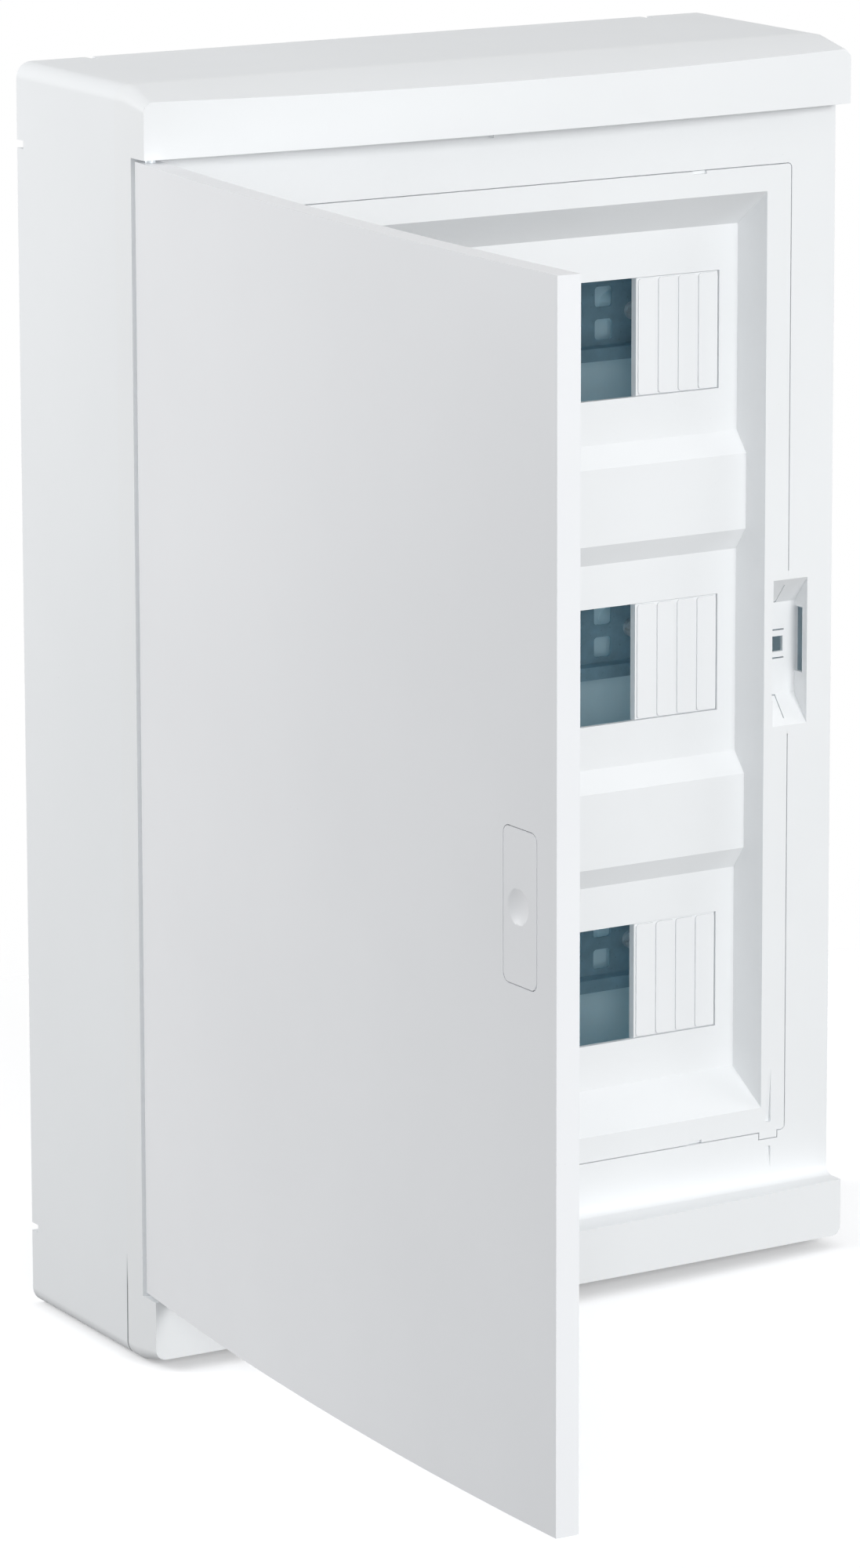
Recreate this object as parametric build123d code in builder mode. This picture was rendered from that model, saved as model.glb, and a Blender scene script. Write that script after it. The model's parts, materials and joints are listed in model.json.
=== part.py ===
"""Wall-mounted distribution cabinet: three rows of modules behind a snap-in mask and a bowed, hinged door.

+X runs to the right, +Z up, and the wall is the plane Y = 0 with the cabinet in front of it, at -Y.
"depth" is always the distance in front of the wall. The origin is the centre of the back face.
Door pieces are placed by the closed door's X and depth, and then stand where the open door carries them.
"""
from build123d import *
from math import cos, radians, sin, sqrt
import os

# ---------------------------------------------------------------- driving dimensions, mm
# Overall cabinet
width = 302.0
height = 472.0
box_depth = 76.0  # wall to the front frame
face_rise = 12.0  # front frame's back to its flat face
brow_rise = 10.0  # flat face to the front plane at the left and right ends
front_bow = 6.0  # how far the middle of the front stands out beyond its ends
corner_radius = 6.0
trim_margin = 1.0  # how far trimming shapes reach past what they trim

# Rear housing
shell_wall = 2.5
back_wall = 3.0
notch_inset = 30.0  # corner to the middle of each rear edge notch
notch_width = 3.0
notch_depth = 5.0
wall_hole_inset_x = 33.0
wall_hole_inset_z = 36.0
wall_hole_radius = 2.75
wall_boss_radius = 8.0
wall_boss_height = 4.0

# Cable entries in the back of the housing
entry_width = 170.0
entry_height = 24.0
entry_inset = 24.0  # top or bottom of the cabinet to the middle of the entry
entry_corner = 3.0
plate_gap = 0.25
plate_lip = 2.5
plate_thickness = 1.6
knockout_radius = 8.0
knockout_pitch = 30.0
knockout_count = 5
knockout_ring = 0.9
knockout_ring_depth = 1.0

# Front frame
face_wall = 2.5
brow_height = 25.0
lip_height = 26.5
slope_run = 15.0
slope_drop = 4.2
nose_corner = 3.0  # corner radius of the brow and lip at the very front
cove_radius = 4.0
nub_width = 4.5
nub_height = 3.0
nub_depth = 3.5

# Mask (inner cover)
mask_margin_x = 20.0  # side of the cabinet to the mask
mask_margin_z = 47.5
mask_corner = 1.5
mask_wall = 2.0
mask_gap = 0.4
ledge_reach = 5.0
ledge_wall = 2.3
recess_depth = 15.0
rim_side = 10.7
rim_end = 9.8
recess_draft_side = 3.3
recess_draft_end = 13.7
ridge_height = 5.0
ridge_foot = 46.0
ridge_top = 29.3
snap_offset = 90.0
snap_width = 6.0
snap_arm = 1.5
snap_hook = 1.2
snap_gap = 0.25
pry_notch = 1.2

# Sealing grooves at two opposite corners of the mask
seal_inset = 7.4
seal_width = 2.3
seal_depth = 1.3
seal_length = 22.0
seal_margin = 3.6
seal_gap = 6.0
seal_frame_length = 9.0
seal_tab_width = 8.0
seal_tab_length = 2.8

# Module rows
row_names = ("top", "middle", "bottom")
row_margin = 40.0  # end of the cover panel to the middle of the first row
window_height = 45.4
window_margin = 8.0
window_play = 1.5
module_half = 9.0
strip_ribs = 4
strip_edge = 0.9
strip_gap = 0.3
strip_relief = 0.2
strip_plate = 1.4
strip_groove = 0.6
strip_pad_corner = 1.2
strip_hook = 1.4

# Top-hat rails
rail_height = 35.0
rail_crown = 27.0
rail_rise = 7.5
rail_sheet = 1.0
rail_overlap = 4.25  # rail beyond the window at each end
cover_to_rail = 49.0  # mask panel to the rail's front lips
rail_post_inset = 8.0
rail_post_radius = 6.0
square_size = 8.0
square_offset = 6.35
slot_length = 18.0
slot_height = 10.2
perforation_pitch = 36.8
perforation_corner = 1.5

# Screws
rail_screw_radius = 2.0
rail_screw_tip_margin = 2.0  # screw tip to the back wall
rail_screw_head = 3.6
rail_screw_head_height = 2.2
frame_screw_radius = 1.75
frame_screw_length = 20.0
frame_screw_head = 3.4
frame_screw_head_height = 2.0
frame_screw_inset = 3.8
frame_screw_drop = 38.5  # end of the mask to the frame screw
screw_tower_radius = 4.4
screw_gap = 0.05
drive_width = 0.9
drive_depth = 0.9

# Terminal bars
bar_length = 122.0
bar_section = 7.0
bar_inset = 46.0  # top or bottom of the cabinet to the middle of the bar
terminal_count = 7
terminal_pitch = 13.0
terminal_radius = 2.6
clamp_screw_radius = 2.0
clamp_screw_head = 2.8
clamp_screw_rise = 2.0
holder_length = 12.0
holder_width = 13.0
holder_depth = 18.0
holder_wall = 2.0

# Door
door_angle = 92.0  # how far the door stands open
door_thickness = 8.6
door_side_gap = 0.3
door_top_gap = 1.2
door_bottom_gap = 1.6
door_skin = 2.4
door_rim = 2.2
door_rib = 1.4
door_rib_height = 3.4
door_rib_rows = 4
door_rib_columns = 3

# Hinge pins
pin_radius = 2.0
pin_in_door = 8.0
pin_in_frame = 8.0
pin_running_gap = 0.06
pin_seat_gap = 0.02
pin_boss = 1.6
pin_end_gap = 0.4

# Latch button
latch_margin = 11.5  # door's free edge to the button
latch_width = 19.4
latch_height = 52.2
latch_corner = 3.0
latch_gap = 0.35
latch_travel = 2.0
dimple_radius = 6.2
dimple_depth = 1.1
rim_reach = 0.9  # rim that holds the button behind the door's skin
rim_thickness = 0.8
rim_gap = 0.35
housing_wall = 1.2
housing_flange = 1.5

# Latch pocket in the front frame, with a slot for a lock and a catch hole for the hook
pocket_margin = 11.1  # side of the cabinet to the pocket
pocket_width = 15.5
pocket_mouth = 57.0
pocket_floor = 36.0
pocket_depth = 8.5
pocket_wall = 1.5
slot_mouth = 25.4
slot_centre = 3.2
slot_rise = 5.2
catch_width = 7.0
catch_height = 11.0
catch_hole = 6.0
catch_slit = 0.6
catch_centre = 1.7

# Latch hook: a slider with a slanted fin that the button's stem moves sideways, both ways
case_gap = 1.0
case_lift = 4.0  # pocket floor to the case's back
slider_height = 20.0
slider_thickness = 2.0
slider_gap = 0.2
fin_thickness = 1.6
fin_step = 0.4
fin_grip = 1.5
cam_gap = 0.3
stem_height = 18.0
hook_thickness = 1.6
hook_width = 5.0
hook_bite = 0.9
hook_nose = 0.8
hook_gap = 0.3

# Latch springs
spring_thickness = 0.4
spring_width = 5.6
spring_length = 15.0

# ---------------------------------------------------------------- places worked out from them
wall_plane = Plane.XZ  # its offset is the depth in front of the wall
face_depth = box_depth + face_rise
end_depth = face_depth + brow_rise
half_width = width / 2
half_height = height / 2
bow_radius = (half_width**2 + front_bow**2) / (2 * front_bow)

mask_width = width - 2 * mask_margin_x
mask_height = height - 2 * mask_margin_z

brow_bottom = half_height - brow_height
lip_top = lip_height - half_height

ledge_front = face_depth - mask_wall
ledge_back = ledge_front - ledge_wall
mouth_width = mask_width - 2 * rim_side
mouth_height = mask_height - 2 * rim_end
panel_depth = face_depth - recess_depth
panel_width = mouth_width - 2 * recess_draft_side
panel_height = mouth_height - 2 * recess_draft_end
panel_back = panel_depth - mask_wall

top_row = panel_height / 2 - row_margin
row_pitch = 2 * top_row / (len(row_names) - 1)
row_heights = [top_row - index * row_pitch for index in range(len(row_names))]
module_count = int((panel_width - 2 * window_margin) // (2 * module_half))
window_width = 2 * module_half * module_count + window_play
window_right = window_width / 2
rail_length = window_width + 2 * rail_overlap
rail_post_offset = rail_length / 2 - rail_post_inset
rail_front = panel_depth - cover_to_rail
rail_back = rail_front - rail_rise
rail_web_front = rail_back + rail_sheet
rail_screw_length = rail_back - back_wall - rail_screw_tip_margin

barrel_radius = door_thickness / 2
hinge_x = door_side_gap + barrel_radius - half_width
hinge_left = hinge_x - barrel_radius
cove_left = hinge_x + barrel_radius + cove_radius
free_x = half_width - door_side_gap - door_side_gap
door_top = brow_bottom - door_top_gap
door_bottom = lip_top + door_bottom_gap
door_height = door_top - door_bottom
latch_x = free_x - latch_margin - latch_width / 2
pocket_right = half_width - pocket_margin
pocket_left = pocket_right - pocket_width


def front_depth(x):
    """Depth of the bowed front surface at x."""
    return end_depth + front_bow - bow_radius + sqrt(bow_radius**2 - x**2)


hinge_depth = front_depth(hinge_x) - barrel_radius

pocket_floor_depth = face_depth - pocket_depth
case_left = pocket_left + case_gap
case_right = pocket_right - case_gap
case_back = pocket_floor_depth + case_lift
case_half_height = pocket_floor / 2 - case_gap
tray_back = front_depth(free_x) - door_thickness + housing_wall / 2

catch_left = pocket_left + catch_width - catch_hole / 2
slider_left = case_left + housing_wall + slider_gap
slider_right = case_right - housing_wall - slider_gap - latch_travel
slider_back = case_back + housing_wall + slider_gap
slider_front = slider_back + slider_thickness
stem_back = slider_front + cam_gap + latch_travel
hook_left = catch_left + hook_gap
hook_right = hook_left + hook_thickness
hook_catch = pocket_floor_depth - pocket_wall - hook_gap
hook_tip = hook_catch - hook_nose

open_cos = cos(radians(door_angle))
open_sin = sin(radians(door_angle))
door_axis = (hinge_x, -hinge_depth, 0)
door_plan = Plane(origin=door_axis, x_dir=(open_cos, -open_sin, 0), z_dir=(0, 0, 1))
door_face = Plane(origin=door_axis, x_dir=(open_cos, -open_sin, 0), z_dir=(-open_sin, -open_cos, 0))


def on_door(x, depth):
    """Door-plan coordinates of the point that lies at x and depth when the door is closed."""
    return (x - hinge_x, hinge_depth - depth)


def finish(piece, name, color):
    """Label one finished sub-part and write its STEP file."""
    piece.part.label = name
    piece.part.color = Color(*color)
    export_step(piece.part, f"parts/{name}.step")


os.makedirs("parts", exist_ok=True)
white = (0.93, 0.94, 0.95)
shade_white = (0.86, 0.87, 0.88)
steel = (0.55, 0.62, 0.68)
brass = (0.80, 0.65, 0.30)
blue = (0.20, 0.40, 0.75)
green = (0.20, 0.60, 0.30)


# ---------------------------------------------------------------- rear housing
seal_x = mask_width / 2 - seal_inset
tower_x = mask_width / 2 - frame_screw_inset
tower_z = mask_height / 2 - frame_screw_drop
tower_spots = [(sx * tower_x, sz * tower_z) for sx in (-1, 1) for sz in (-1, 1)]
wall_hole_span_x = width - 2 * wall_hole_inset_x
wall_hole_span_z = height - 2 * wall_hole_inset_z
rail_post_spots = [(side * rail_post_offset, z) for z in row_heights for side in (-1, 1)]
entry_heights = {"top": half_height - entry_inset, "bottom": entry_inset - half_height}

with BuildPart() as rear_housing:
    with BuildSketch(wall_plane):
        RectangleRounded(width, height, corner_radius)
    extrude(amount=box_depth)
    with BuildSketch(wall_plane.offset(back_wall)):
        RectangleRounded(width - 2 * shell_wall, height - 2 * shell_wall, corner_radius - shell_wall)
    extrude(amount=box_depth, mode=Mode.SUBTRACT)
    # Screw towers for the front frame and posts for the rails
    with BuildSketch(wall_plane.offset(back_wall)):
        with Locations(*tower_spots):
            Circle(screw_tower_radius)
    extrude(amount=box_depth - back_wall)
    with BuildSketch(wall_plane.offset(back_wall)):
        with Locations(*rail_post_spots):
            Circle(rail_post_radius)
    extrude(amount=rail_back - back_wall, taper=2)
    # Bosses round the wall screws
    with BuildSketch(wall_plane.offset(back_wall)):
        with GridLocations(wall_hole_span_x, wall_hole_span_z, 2, 2):
            Circle(wall_boss_radius)
    extrude(amount=wall_boss_height)
    with BuildSketch(wall_plane):
        with GridLocations(wall_hole_span_x, wall_hole_span_z, 2, 2):
            Circle(wall_hole_radius)
    extrude(amount=back_wall + wall_boss_height, mode=Mode.SUBTRACT)
    # Blind holes for the screws
    with BuildSketch(wall_plane.offset(box_depth)):
        with Locations(*tower_spots):
            Circle(frame_screw_radius + screw_gap)
    extrude(amount=-frame_screw_length, mode=Mode.SUBTRACT)
    with BuildSketch(wall_plane.offset(rail_back)):
        with Locations(*rail_post_spots):
            Circle(rail_screw_radius + screw_gap)
    extrude(amount=-rail_screw_length, mode=Mode.SUBTRACT)
    # Cable entries through the back
    with BuildSketch(wall_plane):
        with Locations(*[(0, z) for z in entry_heights.values()]):
            RectangleRounded(entry_width, entry_height, entry_corner)
    extrude(amount=back_wall, mode=Mode.SUBTRACT)
    # Notches in the rear edge of all four sides
    with BuildSketch(wall_plane):
        with GridLocations(width, height - 2 * notch_inset, 2, 2):
            Rectangle(2 * shell_wall, notch_width)
        with GridLocations(width - 2 * notch_inset, height, 2, 2):
            Rectangle(notch_width, 2 * shell_wall)
    extrude(amount=notch_depth, mode=Mode.SUBTRACT)
finish(rear_housing, "rear_housing", white)


def make_entry_plate(name):
    """Break-out plate that closes one cable entry: its lip lies inside, on the back wall."""
    centre_z = entry_heights[name]
    with BuildPart() as plate:
        with BuildSketch(wall_plane.offset(back_wall)):
            with Locations((0, centre_z)):
                RectangleRounded(entry_width + 2 * plate_lip, entry_height + 2 * plate_lip, entry_corner)
        extrude(amount=plate_thickness)
        with BuildSketch(wall_plane):
            with Locations((0, centre_z)):
                RectangleRounded(entry_width - 2 * plate_gap, entry_height - 2 * plate_gap, entry_corner)
        extrude(amount=back_wall)
        with BuildSketch(wall_plane):
            with Locations((0, centre_z)):
                with GridLocations(knockout_pitch, 0, knockout_count, 1):
                    Circle(knockout_radius)
                    Circle(knockout_radius - knockout_ring, mode=Mode.SUBTRACT)
        extrude(amount=knockout_ring_depth, mode=Mode.SUBTRACT)
    finish(plate, f"cable_entry_plate_{name}", shade_white)


for entry_name in entry_heights:
    make_entry_plate(entry_name)


# ---------------------------------------------------------------- front frame
def bowed_bar(section, side, inset):
    """A (depth, z) section across the front from -side to side, its bowed front set back by inset."""
    end = (side, inset - front_depth(side))
    with BuildPart() as bar:
        with BuildSketch(Plane.YZ.offset(-side)):
            with BuildLine():
                Polyline(*[(-depth, z) for depth, z in section], close=True)
            make_face()
        extrude(amount=2 * side)
        with BuildSketch(Plane.XY.offset(-height)):
            with BuildLine():
                ThreePointArc((-side, end[1]), (0, inset - front_depth(0)), end)
                Polyline((-side, end[1]), (-side, 0), (side, 0), end)
            make_face()
        extrude(amount=2 * height, mode=Mode.INTERSECT)
    return bar.part


slope = slope_drop / slope_run
slope_start = end_depth - slope_run
nose_depth = end_depth + front_bow + trim_margin
nose_drop = (nose_depth - slope_start) * slope
brow_bar = bowed_bar(
    [(box_depth, brow_bottom), (box_depth, half_height)]
    + [(nose_depth, half_height), (nose_depth, brow_bottom)],
    half_width,
    0,
)
brow_hollow = bowed_bar(
    [(box_depth, brow_bottom + shell_wall), (box_depth, half_height - shell_wall)]
    + [(slope_start, half_height - shell_wall), (nose_depth, half_height - nose_drop - shell_wall)]
    + [(nose_depth, brow_bottom + shell_wall)],
    half_width - shell_wall,
    shell_wall,
)
lip_bar = bowed_bar(
    [(box_depth, lip_top), (box_depth, -half_height)]
    + [(nose_depth, -half_height), (nose_depth, lip_top)],
    half_width,
    0,
)
lip_hollow = bowed_bar(
    [(box_depth, lip_top - shell_wall), (box_depth, shell_wall - half_height)]
    + [(slope_start, shell_wall - half_height), (nose_depth, nose_drop - half_height + shell_wall)]
    + [(nose_depth, lip_top - shell_wall)],
    half_width - shell_wall,
    shell_wall,
)
pin_boss_radius = pin_radius + pin_boss

with BuildPart() as frame_outline:
    # Straight behind, then drawn in at the top and bottom towards a smaller corner radius
    with BuildSketch(wall_plane.offset(box_depth)):
        RectangleRounded(width, height, corner_radius)
    extrude(amount=slope_start - box_depth)
    with BuildSketch(wall_plane.offset(slope_start)):
        RectangleRounded(width, height, corner_radius)
    with BuildSketch(wall_plane.offset(nose_depth)):
        RectangleRounded(width, height - 2 * nose_drop, nose_corner)
    loft()


def pocket_prism(grow, left, right, front):
    """The latch pocket with its ramped top and bottom, grown by a wall and cut between left and right."""
    floor = pocket_floor / 2 + grow
    back = pocket_floor_depth - grow
    mouth = floor + (front - back) * (pocket_mouth - pocket_floor) / (2 * pocket_depth)
    with BuildPart() as prism:
        with BuildSketch(Plane.YZ.offset(left)):
            with BuildLine():
                Polyline((-front, mouth), (-back, floor), (-back, -floor), (-front, -mouth), close=True)
            make_face()
        extrude(amount=right - left)
    return prism.part


pocket_shell = pocket_prism(pocket_wall, mask_width / 2, pocket_right + pocket_wall, face_depth)
pocket_cavity = pocket_prism(0, pocket_left, pocket_right, end_depth)
clearance_wall = pocket_wall + mask_gap
pocket_clearance = pocket_prism(clearance_wall, pocket_left - clearance_wall, mask_width / 2, end_depth)

with BuildPart() as front_frame:
    with BuildSketch(wall_plane.offset(box_depth)):
        RectangleRounded(width, height, corner_radius)
    extrude(amount=face_depth - box_depth)
    add(brow_bar)
    add(lip_bar)
    # Cove where the face runs into the top of the lower lip, clear of the door's hinge corner
    with BuildSketch(Plane.YZ.offset(cove_left)):
        with BuildLine():
            cove = Polyline((-face_depth, lip_top + cove_radius), (-face_depth, lip_top),
                            (-face_depth - cove_radius, lip_top))
            RadiusArc(cove @ 0, cove @ 1, cove_radius)
        make_face()
    extrude(amount=half_width - cove_left)
    add(frame_outline, mode=Mode.INTERSECT)
    # Hollow behind the face, the brow and the lip
    with BuildSketch(wall_plane.offset(box_depth)):
        RectangleRounded(width - 2 * shell_wall, height - 2 * shell_wall, corner_radius - shell_wall)
    extrude(amount=face_depth - face_wall - box_depth, mode=Mode.SUBTRACT)
    add(brow_hollow, mode=Mode.SUBTRACT)
    add(lip_hollow, mode=Mode.SUBTRACT)
    # Ledge that carries the mask
    with BuildSketch(wall_plane.offset(ledge_back)):
        Rectangle(mask_width + 2 * ledge_reach, mask_height + 2 * ledge_reach)
    extrude(amount=ledge_wall)
    with BuildSketch(wall_plane.offset(ledge_back)):
        Rectangle(mask_width - 2 * ledge_reach, mask_height - 2 * ledge_reach)
    extrude(amount=face_depth, mode=Mode.SUBTRACT)
    with BuildSketch(wall_plane.offset(ledge_front)):
        RectangleRounded(mask_width + 2 * mask_gap, mask_height + 2 * mask_gap, mask_corner + mask_gap)
    extrude(amount=mask_wall, mode=Mode.SUBTRACT)
    # Bosses for the frame screws, from the ledge back to the housing's towers
    with BuildSketch(wall_plane.offset(box_depth)):
        with Locations(*tower_spots):
            Circle(screw_tower_radius)
    extrude(amount=ledge_front - box_depth)
    with BuildSketch(wall_plane.offset(box_depth)):
        with Locations(*tower_spots):
            Circle(frame_screw_radius + screw_gap)
    extrude(amount=face_depth - box_depth, mode=Mode.SUBTRACT)
    with BuildSketch(wall_plane.offset(ledge_front - frame_screw_head_height)):
        with Locations(*tower_spots):
            Circle(frame_screw_head + 2 * screw_gap)
    extrude(amount=frame_screw_head_height, mode=Mode.SUBTRACT)
    # Latch pocket with its slot and catch hole
    add(pocket_clearance, mode=Mode.SUBTRACT)
    add(pocket_shell)
    with BuildSketch(wall_plane.offset(pocket_floor_depth - pocket_wall)):
        with Locations(((pocket_left + pocket_right) / 2, 0)):
            Rectangle(pocket_right - pocket_left, pocket_floor)
    extrude(amount=pocket_wall)
    add(pocket_cavity, mode=Mode.SUBTRACT)
    with BuildSketch(Plane.YZ.offset(pocket_right)):
        with Locations((-pocket_floor_depth - slot_rise / 2, slot_centre)):
            Rectangle(slot_rise, slot_mouth)
    extrude(amount=pocket_wall, mode=Mode.SUBTRACT)
    with BuildSketch(wall_plane.offset(pocket_floor_depth - pocket_wall)):
        with Locations((pocket_left + catch_width, catch_centre)):
            Rectangle(catch_hole, catch_hole)
            with GridLocations(0, catch_height, 1, 2):
                Rectangle(catch_width, catch_slit)
    extrude(amount=pocket_wall, mode=Mode.SUBTRACT)
    # Small nub under the middle of the brow, behind the closed door
    with BuildSketch(wall_plane.offset(face_depth)):
        with Locations((0, brow_bottom - nub_height / 2)):
            Rectangle(nub_width, nub_height)
    extrude(amount=nub_depth)
    # Hinge pin bosses in the brow and the lip
    with BuildSketch(Plane.XY.offset(brow_bottom)):
        with Locations((hinge_x, -hinge_depth)):
            Circle(pin_boss_radius)
    extrude(amount=pin_in_frame + pin_boss)
    with BuildSketch(Plane.XY.offset(lip_top)):
        with Locations((hinge_x, -hinge_depth)):
            Circle(pin_boss_radius)
    extrude(amount=-pin_in_frame - pin_boss)
    with BuildSketch(Plane.XY.offset(brow_bottom)):
        with Locations((hinge_x, -hinge_depth)):
            Circle(pin_radius + pin_seat_gap)
    extrude(amount=pin_in_frame, mode=Mode.SUBTRACT)
    with BuildSketch(Plane.XY.offset(lip_top)):
        with Locations((hinge_x, -hinge_depth)):
            Circle(pin_radius + pin_seat_gap)
    extrude(amount=-pin_in_frame, mode=Mode.SUBTRACT)
    # Sealing grooves and the notches for the mask's tabs
    for turn in (1, -1):
        groove_end = -turn * (mask_height / 2 + seal_gap)
        with BuildSketch(Plane.YZ.offset(turn * seal_x - seal_width / 2)):
            with BuildLine():
                Polyline((-face_depth, groove_end), (-face_depth, groove_end - turn * seal_frame_length),
                         (seal_depth - face_depth, groove_end), close=True)
            make_face()
        extrude(amount=seal_width, mode=Mode.SUBTRACT)
        with BuildSketch(wall_plane.offset(ledge_front)):
            with Locations((turn * seal_x, -turn * (mask_height + seal_tab_length) / 2)):
                Rectangle(seal_tab_width + 2 * mask_gap, seal_tab_length + 2 * mask_gap)
        extrude(amount=mask_wall, mode=Mode.SUBTRACT)
finish(front_frame, "front_frame", white)


# ---------------------------------------------------------------- mask
ledge_inner = mask_height / 2 - ledge_reach
snap_spots = [(sx * snap_offset, sz) for sx in (-1, 1) for sz in (-1, 1)]
mask_pocket_edge = mask_width / 2 - mask_gap
mask_pocket_shell = pocket_prism(pocket_wall, pocket_left - pocket_wall, mask_pocket_edge, face_depth)
floor_clearance = pocket_floor / 2 + mask_gap


def ridge_prism(middle, inset, foot_depth, side):
    """Trapezoid ridge across the recess at height middle, narrowed by inset and rising from foot_depth."""
    foot = ridge_foot / 2 - inset
    top = ridge_top / 2 - inset
    crest = foot_depth + ridge_height
    with BuildPart() as ridge:
        with BuildSketch(Plane.YZ.offset(-side)):
            with BuildLine():
                Polyline((-foot_depth, middle + foot), (-crest, middle + top), (-crest, middle - top),
                         (-foot_depth, middle - foot), close=True)
            make_face()
        extrude(amount=2 * side)
    return ridge.part


with BuildPart() as mask:
    with BuildSketch(wall_plane.offset(ledge_front)):
        RectangleRounded(mask_width, mask_height, mask_corner)
    extrude(amount=mask_wall)
    # Tapered tub: outer skin, then the recess itself
    with BuildSketch(wall_plane.offset(face_depth)):
        Rectangle(mouth_width + 2 * mask_wall, mouth_height + 2 * mask_wall)
    with BuildSketch(wall_plane.offset(panel_back)):
        Rectangle(panel_width + 2 * mask_wall, panel_height + 2 * mask_wall)
    loft()
    with BuildSketch(wall_plane.offset(face_depth)):
        Rectangle(mouth_width, mouth_height)
    with BuildSketch(wall_plane.offset(panel_depth)):
        Rectangle(panel_width, panel_height)
    loft(mode=Mode.SUBTRACT)
    # Raised ridges between the rows, hollow behind
    for below, above in zip(row_heights[1:], row_heights[:-1]):
        reach = panel_width / 2 + recess_draft_side * ridge_height / recess_depth
        add(ridge_prism((below + above) / 2, 0, panel_depth, reach))
        add(ridge_prism((below + above) / 2, mask_wall, panel_back, panel_width / 2), mode=Mode.SUBTRACT)
    # Module windows
    with BuildSketch(wall_plane.offset(panel_back)):
        with Locations(*[(0, z) for z in row_heights]):
            Rectangle(window_width, window_height)
    extrude(amount=mask_wall, mode=Mode.SUBTRACT)
    # Snap arms that hook behind the frame's ledge, each with a notch to pry it open
    for x, end in snap_spots:
        arm_z = end * (ledge_inner - snap_gap)
        with BuildSketch(Plane.YZ.offset(x - snap_width / 2)):
            with BuildLine():
                Polyline((-ledge_front, arm_z), (-ledge_back + snap_gap, arm_z),
                         (-ledge_back + snap_gap, arm_z + end * snap_hook),
                         (-ledge_back + snap_gap + snap_hook, arm_z + end * snap_hook),
                         (-ledge_back + snap_gap + 3 * snap_hook, arm_z - end * snap_arm),
                         (-ledge_front, arm_z - end * snap_arm), close=True)
            make_face()
        extrude(amount=snap_width)
        with BuildSketch(wall_plane.offset(face_depth - pry_notch)):
            with Locations((x, end * mask_height / 2)):
                Rectangle(snap_width, 2 * pry_notch)
        extrude(amount=pry_notch, mode=Mode.SUBTRACT)
    # Its share of the latch pocket: the left part of both ramps, open over the frame's pocket floor
    add(mask_pocket_shell)
    add(pocket_cavity, mode=Mode.SUBTRACT)
    with BuildSketch(wall_plane.offset(pocket_floor_depth - 2 * pocket_wall)):
        with Locations(((pocket_left + mask_width) / 2 - mask_gap, 0)):
            Rectangle(mask_width - pocket_left, 2 * floor_clearance)
    extrude(amount=pocket_depth + 2 * pocket_wall, mode=Mode.SUBTRACT)
    # Sealing grooves and tabs at two opposite corners
    for turn in (1, -1):
        groove_end = -turn * (mask_height / 2 - seal_margin)
        with BuildSketch(Plane.YZ.offset(turn * seal_x - seal_width / 2)):
            with BuildLine():
                Polyline((-face_depth, groove_end), (-face_depth, groove_end + turn * seal_length),
                         (seal_depth - face_depth, groove_end), close=True)
            make_face()
        extrude(amount=seal_width, mode=Mode.SUBTRACT)
        with BuildSketch(wall_plane.offset(ledge_front)):
            with Locations((turn * seal_x, -turn * (mask_height + seal_tab_length) / 2)):
                Rectangle(seal_tab_width, seal_tab_length)
        extrude(amount=mask_wall)
finish(mask, "mask", white)


# ---------------------------------------------------------------- blanking strips
strip_width = strip_edge + strip_ribs * module_half
strip_right = window_right - strip_gap
strip_centre = strip_right - strip_width / 2
strip_front = panel_depth - strip_relief
pad_height = window_height - 4 * strip_gap


def make_blanking_strip(name, row_z):
    """Snap-in cover for the unused end of a window, scored into half modules that break off one by one."""
    with BuildPart() as strip:
        with BuildSketch(wall_plane.offset(panel_back - strip_plate)):
            with Locations((strip_centre, row_z)):
                Rectangle(strip_width, window_height + 2 * strip_hook)
        extrude(amount=strip_plate)
        with BuildSketch(wall_plane.offset(panel_back)):
            with Locations((strip_centre, row_z)):
                Rectangle(strip_width, window_height - 2 * strip_gap)
        extrude(amount=strip_front - panel_back - strip_groove)
        with BuildSketch(wall_plane.offset(panel_back)):
            with Locations((strip_right - strip_ribs * module_half / 2, row_z)):
                with GridLocations(module_half, 0, strip_ribs, 1):
                    RectangleRounded(module_half - strip_groove, pad_height, strip_pad_corner)
            with Locations((strip_right - strip_width + strip_groove / 2, row_z)):
                Rectangle(strip_groove, window_height - 2 * strip_gap)
        extrude(amount=strip_front - panel_back)
    finish(strip, f"blanking_strip_{name}", white)


for row_name, row_z in zip(row_names, row_heights):
    make_blanking_strip(row_name, row_z)


# ---------------------------------------------------------------- rails
square_pairs = int((rail_post_offset - square_size + perforation_pitch / 2) // perforation_pitch)
slot_pairs = int((rail_post_offset - slot_length) // perforation_pitch)


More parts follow.
